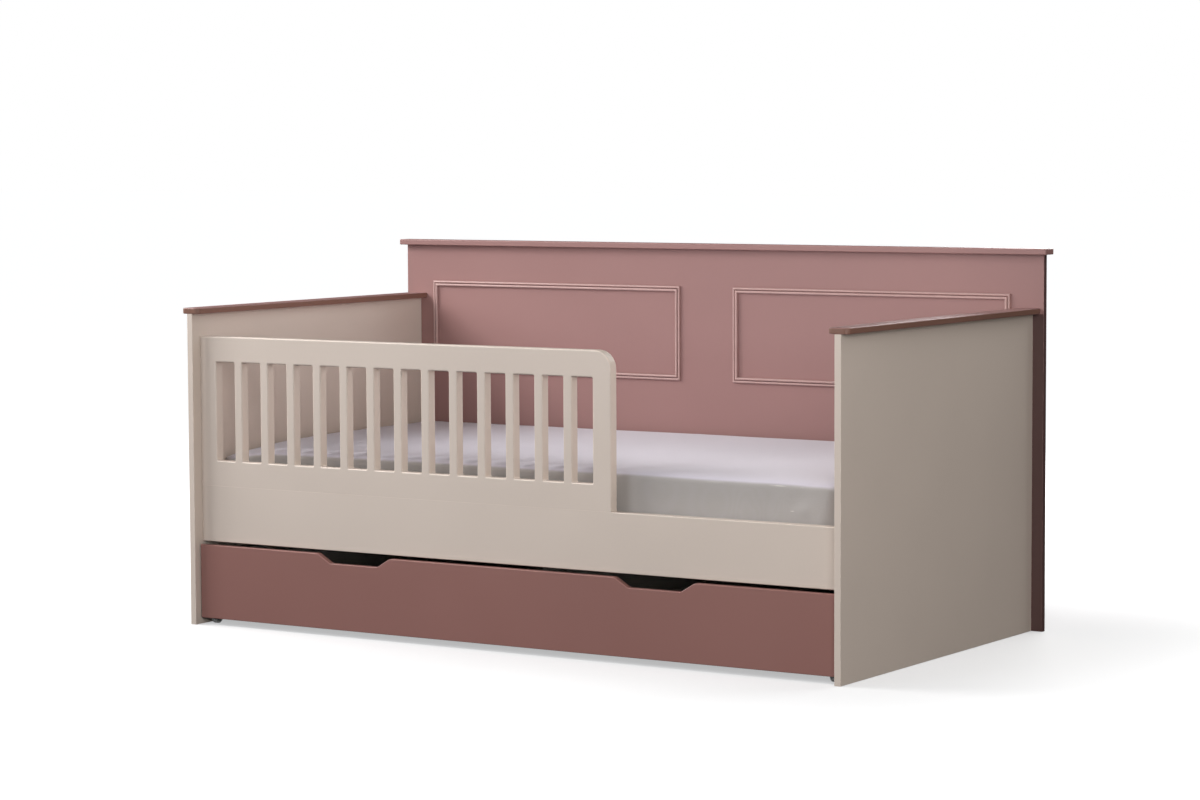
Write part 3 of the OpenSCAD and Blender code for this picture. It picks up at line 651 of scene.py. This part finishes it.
def moulding(side):
    """Four mitred strips with a double bead: outer bead, quirk, taller inner bead."""
    n = f"{side}_moulding_frame"
    p, q = lo(n), hi(n)
    face, w, t = q.y, 0.016, q.y - p.y
    prof = [(0.0, 0.0), (0.0, 0.0022)]
    prof += [(0.0034 - 0.0034 * math.cos(a), 0.0034 + 0.0034 * math.sin(a) * 1.0) for a in (math.radians(x) for x in range(-18, 169, 17))]
    prof += [(0.0069, 0.0022), (0.0076, 0.0014), (0.0083, 0.0022)]
    prof += [(0.0120 - 0.0036 * math.cos(a), 0.0044 + 0.0036 * math.sin(a)) for a in (math.radians(x) for x in range(-8, 189, 14))]
    prof += [(w, 0.0030), (w, 0.0)]
    prof = [(max(0.0, min(w, u)), max(0.0, min(t, h))) for u, h in prof]
    bm = bmesh.new()
    edge = bm.verts.layers.float.new("edge")
    # painted highlight: the bead crests take the lighter edge colour
    crest_highlight = [max(0.0, min(1.0, (h - 0.0036) / 0.0026)) for u, h in prof]
    gap = 0.00007
    cs = [(p.x, p.z, 1, 1), (q.x, p.z, -1, 1), (q.x, q.z, -1, -1), (p.x, q.z, 1, -1)]
    for i in range(4):
        (x0, z0, sx0, sz0), (x1, z1, sx1, sz1) = cs[i], cs[(i + 1) % 4]
        d = Vector((x1 - x0, z1 - z0)).normalized() * gap
        r0 = [bm.verts.new((x0 + sx0 * u + d.x, face - h, z0 + sz0 * u + d.y)) for u, h in prof]
        r1 = [bm.verts.new((x1 + sx1 * u - d.x, face - h, z1 + sz1 * u - d.y)) for u, h in prof]
        for k in range(len(prof)):
            r0[k][edge] = r1[k][edge] = crest_highlight[k]
            bm.faces.new((r0[k - 1], r0[k], r1[k], r1[k - 1]))
        bm.faces.new(r0)
        bm.faces.new(r1)
    return finish_mesh(f"{side}_moulding", bm, M["bead"], "bed_frame", [n], weighted=False, sharp=46.0)


moulding("left")
moulding("right")

# front rail, with the cam pockets in its rear face
p, q = lo("front_rail"), hi("front_rail")
holes = []
for pts in islands("rail_cams"):
    c = (pts.min(0) + pts.max(0)) / 2
    holes.append(("b", (float(c[0]), float(c[2])), [(0.0076, 0.0), (0.0076, 0.0195)]))
bm = bmesh.new()
u0, u1, v0, v1 = p.x, q.x, p.z, q.z
gx = hi("guard_right_stile").x
lp = [
    (u0, v0, 0.0022), (u1, v0, 0.0022), (u1, v1, 0.0024),
    (gx + 0.012, v1, 0.0024), (gx + 0.001, v1, 0.0006), (u0, v1, 0.0006),
]
plate(bm, "y", p.y, q.y, lp, seg=5, pockets=holes)
finish_mesh("front_rail_board", bm, M["beige"], "bed_frame", ["front_rail"])


def guard():
    """The guard as one lacquered piece: eased all round, with a fine joint on the rail."""
    a, b = lo("guard_top_rail"), hi("guard_top_rail")
    z0 = lo("guard_bottom_rail").z
    slot0, slot1 = hi("guard_bottom_rail").z, a.z
    r = 0.0036
    pts = [
        (a.x, z0, 0.0, 0.0006), (b.x - 0.006, z0, 0.0, 0.0006), (b.x, z0, 0.0, 0.0006),
        (b.x, z0 + 0.008, 0.0, r), (b.x, b.z, 0.048, r), (a.x + 0.004, b.z, 0.0, r), (a.x, b.z, 0.0, 0.0008),
    ]
    outer = rounded(pts, r)
    edges = [hi("guard_left_stile").x]
    for isl in sorted(islands("guard_slats"), key=lambda s: s[:, 0].min()):
        edges += [float(isl[:, 0].min()), float(isl[:, 0].max())]
    edges.append(lo("guard_right_stile").x)
    slots = []
    for x0, x1 in zip(edges[::2], edges[1::2]):
        c = 0.003
        slots.append(rounded([(x0, slot0, c), (x1, slot0, c), (x1, slot1, c), (x0, slot1, c)], r))
    bm = bmesh.new()
    plate(bm, "y", a.y, b.y, outer, slots, seg=6)
    return finish_mesh(
        "guard", bm, M["beige"], "bed_frame",
        ["guard_top_rail", "guard_bottom_rail", "guard_left_stile", "guard_right_stile", "guard_slats"],
    )


guard()

# slats and ledgers: planed boards with eased long edges
bm = bmesh.new()
heads = [pts for pts in islands("slat_screws")]
for pts in islands("bed_slats"):
    a, b = Vector(pts.min(0)), Vector(pts.max(0))
    pk = []
    for h in heads:
        c = (h.min(0) + h.max(0)) / 2
        if a.x < c[0] < b.x:
            pk.append(("b", (float(c[0]), float(c[1])), [(0.0041, 0.0), (0.0041, 0.0011), (0.0021, 0.0031), (0.0021, 0.012)]))
    box_plate(bm, "z", a, b, 0.0026, 4, pockets=pk)
finish_mesh("slats", bm, M["pine_y"], "bed_frame", ["bed_slats"])
for n, nm in (("front_ledger", "front_ledger_batten"), ("rear_ledger", "rear_ledger_batten")):
    bm = bmesh.new()
    box_plate(bm, "x", lo(n), hi(n), 0.0018, 3)
    finish_mesh(nm, bm, M["pine_x"], "bed_frame", [n])

screws("back_screws", "back_panel_screws", "csk", "bed_frame")
screws("slat_fixings", "slat_screws", "csk", "bed_frame")
screws("ledger_fixings", "ledger_screws", "pan", "bed_frame")
screws("guard_fixings", "guard_screws", "pan", "bed_frame")

# ---------------------------------------------------------------- drawer

p, q = lo("drawer_front"), hi("drawer_front")


def cutout_points():
    """The drawer front's outline, read from the CAD node's own front edge."""
    bm = bmesh.new()
    bm.from_mesh(NODES["drawer_front"].data)
    bmesh.ops.remove_doubles(bm, verts=bm.verts, dist=1e-6)
    pts = [(v.co.x, v.co.z) for v in bm.verts if abs(v.co.y - p.y) < 1e-5 and v.co.z > q.z - 0.030]
    bm.free()
    return sorted(set((round(x, 6), round(z, 6)) for x, z in pts))


def drawer_face():
    pts = cutout_points()
    top = [pt for pt in pts if p.x + 0.01 < pt[0] < q.x - 0.01]
    r = 0.0018
    lp = [(p.x, p.z, r), (q.x, p.z, r), (q.x, q.z, r)]
    lp += [(x, z, r) for x, z in sorted(top, key=lambda t: -t[0])]
    lp += [(p.x, q.z, r)]
    bm = bmesh.new()
    plate(bm, "y", p.y, q.y, lp, seg=5)
    return finish_mesh("drawer_face", bm, M["plum"], "drawer", ["drawer_front"])


drawer_face()

sc = [(pts.min(0), pts.max(0)) for pts in islands("drawer_screws")]


def sinks(n, axis, side):
    """Countersinks of a drawer board, in its a or b face."""
    a, b = lo(n), hi(n)
    w = "xyz".index(axis)
    face = a[w] if side == "a" else b[w]
    out = []
    for s0, s1 in sc:
        end = s0[w] if side == "a" else s1[w]
        if int(np.argmax(s1 - s0)) == w and abs(end - face) < 1e-4:
            c = (s0 + s1) / 2
            u, v = AXES[axis][:2]
            if a[u] < c[u] < b[u] and a[v] < c[v] < b[v]:
                out.append((side, (float(c[u]), float(c[v])), [(0.00505, 0.0), (0.0036, 0.0016), (0.0036, 0.010)]))
    return out


for n, axis, side, new in (
    ("drawer_left_side", "x", "a", "drawer_left_board"),
    ("drawer_right_side", "x", "b", "drawer_right_board"),
    ("drawer_back", "y", "b", "drawer_rear_board"),
    ("drawer_divider", "x", None, "drawer_centre_board"),
    ("drawer_bottom", "z", "a", "drawer_base_board"),
):
    bm = bmesh.new()
    box_plate(bm, axis, lo(n), hi(n), 0.0008, 2, pockets=sinks(n, axis, side) if side else ())
    finish_mesh(new, bm, M["board"], "drawer", [n])

screws("drawer_fixings", "drawer_screws", "csk", "drawer")
screws("caster_fixings", "caster_screws", "pan", "drawer")


def wheel(n):
    a, b = lo(n), hi(n)
    c = (a + b) / 2
    w, r = (b.x - a.x) / 2, (b.z - a.z) / 2
    prof = [(0.00255, -w), (0.0056, -w), (0.0060, -w + 0.0004), (0.0060, -w + 0.0027), (0.0064, -w + 0.0030), (r - 0.0046, -w + 0.0030), (r - 0.0041, -w + 0.0026), (r - 0.0040, -w + 0.0003)]
    prof += [(r - 0.0037, -w)]
    prof += [(r - 0.0022 + 0.0022 * math.sin(t), -w + 0.0022 - 0.0022 * math.cos(t)) for t in (math.radians(x) for x in range(0, 91, 15))]
    half = prof
    full = half + [(x, -h) for x, h in reversed(half)]
    bm = bmesh.new()
    turn = Matrix.Translation(c) @ Matrix.Rotation(math.pi / 2, 4, "Y")
    revolve(bm, turn, full + [full[0]], 56, False, False)
    bmesh.ops.remove_doubles(bm, verts=bm.verts, dist=1e-7)
    return finish_mesh(n + "_tyre", bm, M["wheel"], n, [n], sharp=40.0, weighted=False)


for n in ("front_left_wheel", "front_right_wheel", "rear_left_wheel", "rear_right_wheel"):
    wheel(n)


# ---------------------------------------------------------------- mattress

def evaluated(o):
    dg = bpy.context.evaluated_depsgraph_get()
    return bpy.data.meshes.new_from_object(o.evaluated_get(dg))


def points_of(me):
    co = np.empty(len(me.vertices) * 3, np.float32)
    me.vertices.foreach_get("co", co)
    return co.reshape(-1, 3).astype(float)


def set_points(me, co):
    me.vertices.foreach_set("co", np.ascontiguousarray(co, np.float32).ravel())
    me.update()


def smooth_step(x, a, b):
    t = np.clip((x - a) / (b - a), 0.0, 1.0)
    return t * t * (3 - 2 * t)


MP, MQ = lo("mattress"), hi("mattress")
VOXEL = 0.011


def mattress_block():
    """Foam block: eased edges, then swollen by a cloth run so that its faces belly between the corners."""
    s = 0.0055
    bm = bmesh.new()
    lp = rounded([(MP.x + s, MP.y + s, 0.052), (MQ.x - s, MP.y + s, 0.052), (MQ.x - s, MQ.y - s, 0.052), (MP.x + s, MQ.y - s, 0.052)], 0.010)
    plate(bm, "z", MP.z + 0.0030, MQ.z - 0.0075, lp, seg=7)
    bmesh.ops.recalc_face_normals(bm, faces=bm.faces)
    me = bpy.data.meshes.new("mattress_start")
    bm.to_mesh(me)
    bm.free()
    o = bpy.data.objects.new("mattress_core", me)
    scene.collection.objects.link(o)
    rm = o.modifiers.new("remesh", "REMESH")
    rm.mode = "VOXEL"
    rm.voxel_size = VOXEL
    rm.use_smooth_shade = True
    new = evaluated(o)
    o.modifiers.clear()
    o.data = new
    rest = points_of(new)
    cl = o.modifiers.new("cloth", "CLOTH")
    st = cl.settings
    st.quality = 5
    st.mass = 0.3
    st.tension_stiffness = st.compression_stiffness = 18
    st.shear_stiffness = 8
    st.bending_stiffness = 1.5
    st.use_pressure = True
    st.uniform_pressure_force = 4.0
    st.effector_weights.gravity = 0.0
    cl.collision_settings.use_collision = False
    cl.point_cache.frame_start = 1
    cl.point_cache.frame_end = 16
    for f in range(1, 15):
        scene.frame_set(f)
    swollen = points_of(evaluated(o))
    o.modifiers.clear()
    scene.frame_set(1)
    d = swollen - rest
    n = np.linalg.norm(d, axis=1, keepdims=True)
    d *= np.minimum(1.0, 0.006 / np.maximum(n, 1e-9))
    co = rest + d
    # it lies on slats, so its underside stays flat
    low = rest[:, 2] < MP.z + 0.012
    co[low, 2] = np.maximum(rest[low, 2], co[low, 2])
    # the surface of the top is highest at the rear and along the middle
    top = smooth_step(rest[:, 2], MQ.z - 0.07, MQ.z - 0.02)
    y = (rest[:, 1] - MP.y) / (MQ.y - MP.y)
    fx = np.abs(rest[:, 0]) / MQ.x
    drop = 0.0068 * (1 - smooth_step(y, 0.0, 0.55)) + 0.0042 * smooth_step(fx, 0.86, 1.0)
    # the corner behind the guard's left end is pressed down
    near = np.exp(-(((rest[:, 0] - MP.x) / 0.13) ** 2 + ((rest[:, 1] - MP.y) / 0.16) ** 2))
    drop += 0.020 * near
    co[:, 2] -= drop * top
    # slow undulation of the top face
    wob = np.array([noise.noise(Vector((x * 3.1, yy * 3.7, 0.3))) + 0.5 * noise.noise(Vector((x * 7.3, yy * 6.1, 4.1))) for x, yy, _ in rest])
    co[:, 2] += 0.0016 * wob * top
    margin = 0.0022
    for i in range(3):
        co[:, i] = np.clip(co[:, i], MP[i] + (margin if i < 2 else 0.0016), MQ[i] - margin)
    set_points(new, co)
    new.polygons.foreach_set("use_smooth", [True] * len(new.polygons))
    new.materials.clear()
    new.materials.append(M["ticking"])
    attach(o, "mattress")
    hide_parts("mattress")
    return o


def fitted_sheet(core):
    """The fitted sheet: the block's top, sides and a 110 mm return underneath, 1.2 mm out from it,
    with a gathered hem, darted corners and the slack folds a fitted sheet has beside them."""
    me = core.data.copy()
    bm = bmesh.new()
    bm.from_mesh(me)
    bm.verts.ensure_lookup_table()
    turn_in = 0.110
    kill = [
        f for f in bm.faces
        if f.normal.z < -0.55
        and MP.x + turn_in < f.calc_center_median().x < MQ.x - turn_in
        and MP.y + turn_in < f.calc_center_median().y < MQ.y - turn_in
    ]
    bmesh.ops.delete(bm, geom=kill, context="FACES")
    bm.normal_update()
    bm.verts.ensure_lookup_table()
    co = np.array([tuple(v.co) for v in bm.verts])
    no = np.array([tuple(v.normal) for v in bm.verts])
    off = np.full(len(co), 0.0011)
    h = (co[:, 2] - MP.z) / (MQ.z - MP.z)
    side = (1 - smooth_step(np.abs(no[:, 2]), 0.35, 0.85))
    # slack folds that fan out from each corner down the sides
    for sx in (-1, 1):
        for sy in (-1, 1):
            cx, cy = (MQ.x if sx > 0 else MP.x), (MQ.y if sy > 0 else MP.y)
            for axis, span in ((0, 0.34), (1, 0.26)):
                d = np.abs(co[:, axis] - (cx, cy)[axis])
                on = np.abs(no[:, 1 - axis]) > 0.6
                fade = (1 - smooth_step(d, 0.05, span)) * smooth_step(d, 0.012, 0.06)
                lean = d + 0.10 * (h - 0.5) * (0.6 + d)
                fold = np.sin(lean * 2 * math.pi / 0.062 + 1.3 * sx + 0.7 * sy + axis) ** 3
                fold += 0.5 * np.sin(lean * 2 * math.pi / 0.113 + 2.1 * sy)
                grow = (1 - smooth_step(h, 0.55, 0.97)) * 0.85 + 0.15
                off += 0.0010 * fold * fade * grow * side * on
            # dart seam up the corner
            ang = np.arctan2(np.abs(no[:, 1]), np.abs(no[:, 0]))
            at = (co[:, 0] * sx > 0) & ((co[:, 1] - (MP.y + MQ.y) / 2) * sy > 0)
            seam = np.exp(-(((ang - math.pi / 4) / 0.10) ** 2)) * side * at * (np.hypot(co[:, 0] - cx, co[:, 1] - cy) < 0.09)
            off += 0.0012 * seam
    # soft dimples on the long front side
    for x0, z0, s, k in ((0.62, 0.42, 0.055, -1), (0.71, 0.40, 0.040, 1), (0.80, 0.43, 0.050, -1), (0.20, 0.41, 0.09, 0.7), (-0.35, 0.42, 0.08, -0.7), (0.46, 0.45, 0.05, 0.6)):
        g = np.exp(-(((co[:, 0] - x0) / s) ** 2 + ((co[:, 2] - z0) / 0.055) ** 2))
        off += 0.0011 * k * g * (no[:, 1] < -0.6)
    # creases pressed into the top by packing, very faint
    crease = np.zeros(len(co))
    for x0, w in ((-0.5, 0.004), (0.0, 0.004), (0.5, 0.004)):
        crease += np.exp(-(((co[:, 0] - x0 - 0.01 * np.sin(co[:, 1] * 5)) / 0.014) ** 2))
    crease += np.exp(-(((co[:, 1] - 0.02) / 0.014) ** 2))
    off += 0.0005 * crease * (no[:, 2] > 0.8)
    # gathered hem underneath
    under = no[:, 2] < -0.55
    run = np.where(
        np.minimum(np.abs(co[:, 0] - MP.x), np.abs(co[:, 0] - MQ.x)) < np.minimum(np.abs(co[:, 1] - MP.y), np.abs(co[:, 1] - MQ.y)),
        co[:, 1], co[:, 0],
    )
    off += np.where(under, -0.0005 + 0.0004 * np.sin(run * 2 * math.pi / 0.030), 0.0)
    off = np.clip(off, 0.0003, 0.0042)
    new = co + no * off[:, None]
    for i in range(2):
        new[:, i] = np.clip(new[:, i], MP[i] + 0.0004, MQ[i] - 0.0004)
    new[:, 2] = np.clip(new[:, 2], MP.z + 0.0003, MQ.z + 0.0012)
    # painted shade: this mask marks the upright sides for the darker side colour
    side_shade = bm.verts.layers.float.new("side_shade")
    edge_of = 1 - smooth_step(no[:, 2], 0.60, 0.80)
    for v, p3, k in zip(bm.verts, new, edge_of):
        v.co = p3
        v[side_shade] = k
    out = bpy.data.meshes.new("fitted_sheet")
    bm.to_mesh(out)
    bm.free()
    bpy.data.meshes.remove(me)
    out.polygons.foreach_set("use_smooth", [True] * len(out.polygons))
    out.materials.clear()
    out.materials.append(M["sheet"])
    o = bpy.data.objects.new("fitted_sheet", out)
    scene.collection.objects.link(o)
    sub = o.modifiers.new("sub", "SUBSURF")
    sub.levels = sub.render_levels = 1
    th = o.modifiers.new("thick", "SOLIDIFY")
    th.thickness = 0.0005
    th.offset = -1.0
    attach(o, "mattress")
    w = MQ.x - MP.x + 2 * (MQ.z - MP.z) + 2 * turn_in
    d = MQ.y - MP.y + 2 * (MQ.z - MP.z) + 2 * turn_in
    return o


core = mattress_block()
fitted_sheet(core)

# ---------------------------------------------------------------- CAD nodes that stay

KEEP = {
    "guard_plates": "zinc", "rail_cams": "zinc", "rail_cam_bolts": "zinc", "caster_axles": "zinc",
    "guard_dowels": "beech", "rail_dowels": "beech", "end_cap_dowels": "beech", "back_cap_dowels": "beech",
    "drawer_front_dowels": "beech", "caster_housings": "black",
}
for n, key in KEEP.items():
    o = NODES[n]
    o.data.materials.clear()
    o.data.materials.append(M[key])
for n in ("caster_housings", "guard_plates", "rail_cams"):
    o = NODES[n]
    wd = o.modifiers.new("weld", "WELD")
    wd.merge_threshold = 0.000005
    bv = o.modifiers.new("ease", "BEVEL")
    bv.width = 0.0003
    bv.segments = 2
    bv.limit_method = "ANGLE"
    bv.angle_limit = math.radians(40)
    bv.harden_normals = True

# ---------------------------------------------------------------- stage, light, camera

def stage_floor():
    m, nt, b = material("floor_white")
    v = coords(nt)
    nt.links.new(mix(nt, ramp(nt, tex_noise(nt, v, 0.8, 2.0), [(0.3, 0.0), (0.7, 1.0)]), (0.50, 0.50, 0.50), (0.515, 0.515, 0.515)), b.inputs["Base Color"])
    b.inputs["Roughness"].default_value = 0.75
    b.inputs["Specular IOR Level"].default_value = 0.15
    b.inputs["Emission Color"].default_value = (0.99, 0.993, 1.0, 1.0)
    # a pale cove: the floor glows faintly beside the bed and fades to white away from it
    off = node(nt, "ShaderNodeVectorMath", operation="ABSOLUTE")
    nt.links.new(v, off.inputs[0])
    less = node(nt, "ShaderNodeVectorMath", operation="SUBTRACT")
    nt.links.new(off.outputs[0], less.inputs[0])
    less.inputs[1].default_value = (CAD_HI[0], CAD_HI[1], 1.0)
    most = node(nt, "ShaderNodeVectorMath", operation="MAXIMUM")
    nt.links.new(less.outputs[0], most.inputs[0])
    grow = node(nt, "ShaderNodeVectorMath", operation="LENGTH")
    nt.links.new(most.outputs[0], grow.inputs[0])
    reach = node(nt, "ShaderNodeMapRange", interpolation_type="SMOOTHSTEP")
    for key, val in (("From Min", 0.0), ("From Max", 1.5), ("To Min", 0.47), ("To Max", 1.0)):
        reach.inputs[key].default_value = val
    nt.links.new(grow.outputs["Value"], reach.inputs["Value"])
    nt.links.new(reach.outputs[0], b.inputs["Emission Strength"])
    s = 60.0
    me = bpy.data.meshes.new("floor")
    me.from_pydata([(-s, -s, -0.0006), (s, -s, -0.0006), (s, s, -0.0006), (-s, s, -0.0006)], [], [(0, 1, 2, 3)])
    me.materials.append(m)
    o = bpy.data.objects.new("floor", me)
    scene.collection.objects.link(o)
    o.visible_diffuse = False
    o.visible_glossy = False


stage_floor()


def area_light(name, place, aim, size, power, colour=(1, 1, 1)):
    d = bpy.data.lights.new(name, "AREA")
    d.shape = "RECTANGLE"
    d.size, d.size_y = size
    d.energy = power
    d.color = colour
    o = bpy.data.objects.new(name, d)
    scene.collection.objects.link(o)
    o.location = place
    o.rotation_mode = "QUATERNION"
    o.rotation_quaternion = (Vector(aim) - Vector(place)).to_track_quat("-Z", "Y")
    o.visible_camera = False
    return o


# azimuth from the front (negative to the left), elevation, distance, size, watts, colour
LIGHTS = {
    "key": (-60, 35, 5.0, 2.0, 145.0, (1.0, 1.0, 1.0)),
    "left": (-80, 25, 5.0, 2.0, 121.0, (1.0, 1.0, 1.0)),
    "front": (-20, 15, 4.3, 1.6, 37.0, (0.97, 1.0, 1.05)),
    "fill": (40, 15, 5.0, 2.6, 100.0, (1.0, 1.0, 1.0)),
    "right": (75, 15, 5.0, 2.6, 26.0, (1.04, 1.0, 0.95)),
    "rear_right": (140, 45, 5.0, 2.6, 68.0, (1.0, 1.0, 1.0)),
    "rear": (180, 17, 5.0, 2.6, 110.0, (1.0, 1.0, 1.0)),
}
for n, (az, el, dist, size, power, colour) in LIGHTS.items():
    a, e = math.radians(az), math.radians(el)
    c = Vector((0.0, 0.0, 0.5))
    area_light(n, c + dist * Vector((math.sin(a) * math.cos(e), -math.cos(a) * math.cos(e), math.sin(e))), c, (size, size), power, colour)

# the backdrop is white to the camera; the light it gives is set apart from that
world = bpy.data.worlds.new("studio")
world.use_nodes = True
scene.world = world
nt = world.node_tree
bg = nt.nodes["Background"]
bg.inputs["Color"].default_value = (1.0, 1.0, 1.0, 1.0)
path = nt.nodes.new("ShaderNodeLightPath")
level = nt.nodes.new("ShaderNodeMapRange")
level.inputs["To Min"].default_value = 0.015
level.inputs["To Max"].default_value = 1.0
nt.links.new(path.outputs["Is Camera Ray"], level.inputs["Value"])
nt.links.new(level.outputs[0], bg.inputs["Strength"])

scene.view_settings.view_transform = "Standard"
scene.view_settings.look = "None"
scene.view_settings.exposure = 0.0
scene.view_settings.gamma = 1.0

cd = bpy.data.cameras.new("camera")
cam = bpy.data.objects.new("camera", cd)
scene.collection.objects.link(cam)
yaw, pitch, roll = math.radians(32.762), math.radians(4.468), math.radians(-0.259)
cd.sensor_width = 36.0
cd.lens = 36.0 * 3320.72 / 1200.0
cd.clip_end = 200.0
fwd = Vector((-math.sin(yaw) * math.cos(pitch), math.cos(yaw) * math.cos(pitch), -math.sin(pitch)))
right = Vector((math.cos(yaw), math.sin(yaw), 0.0))
up = right.cross(fwd)
r2 = math.cos(roll) * right + math.sin(roll) * up
u2 = -math.sin(roll) * right + math.cos(roll) * up
cam.rotation_mode = "QUATERNION"
cam.rotation_quaternion = Matrix(((r2.x, u2.x, -fwd.x), (r2.y, u2.y, -fwd.y), (r2.z, u2.z, -fwd.z))).to_quaternion()
cam.location = (4.875608, -7.066053 - 0.553, 1.331851)
scene.camera = cam
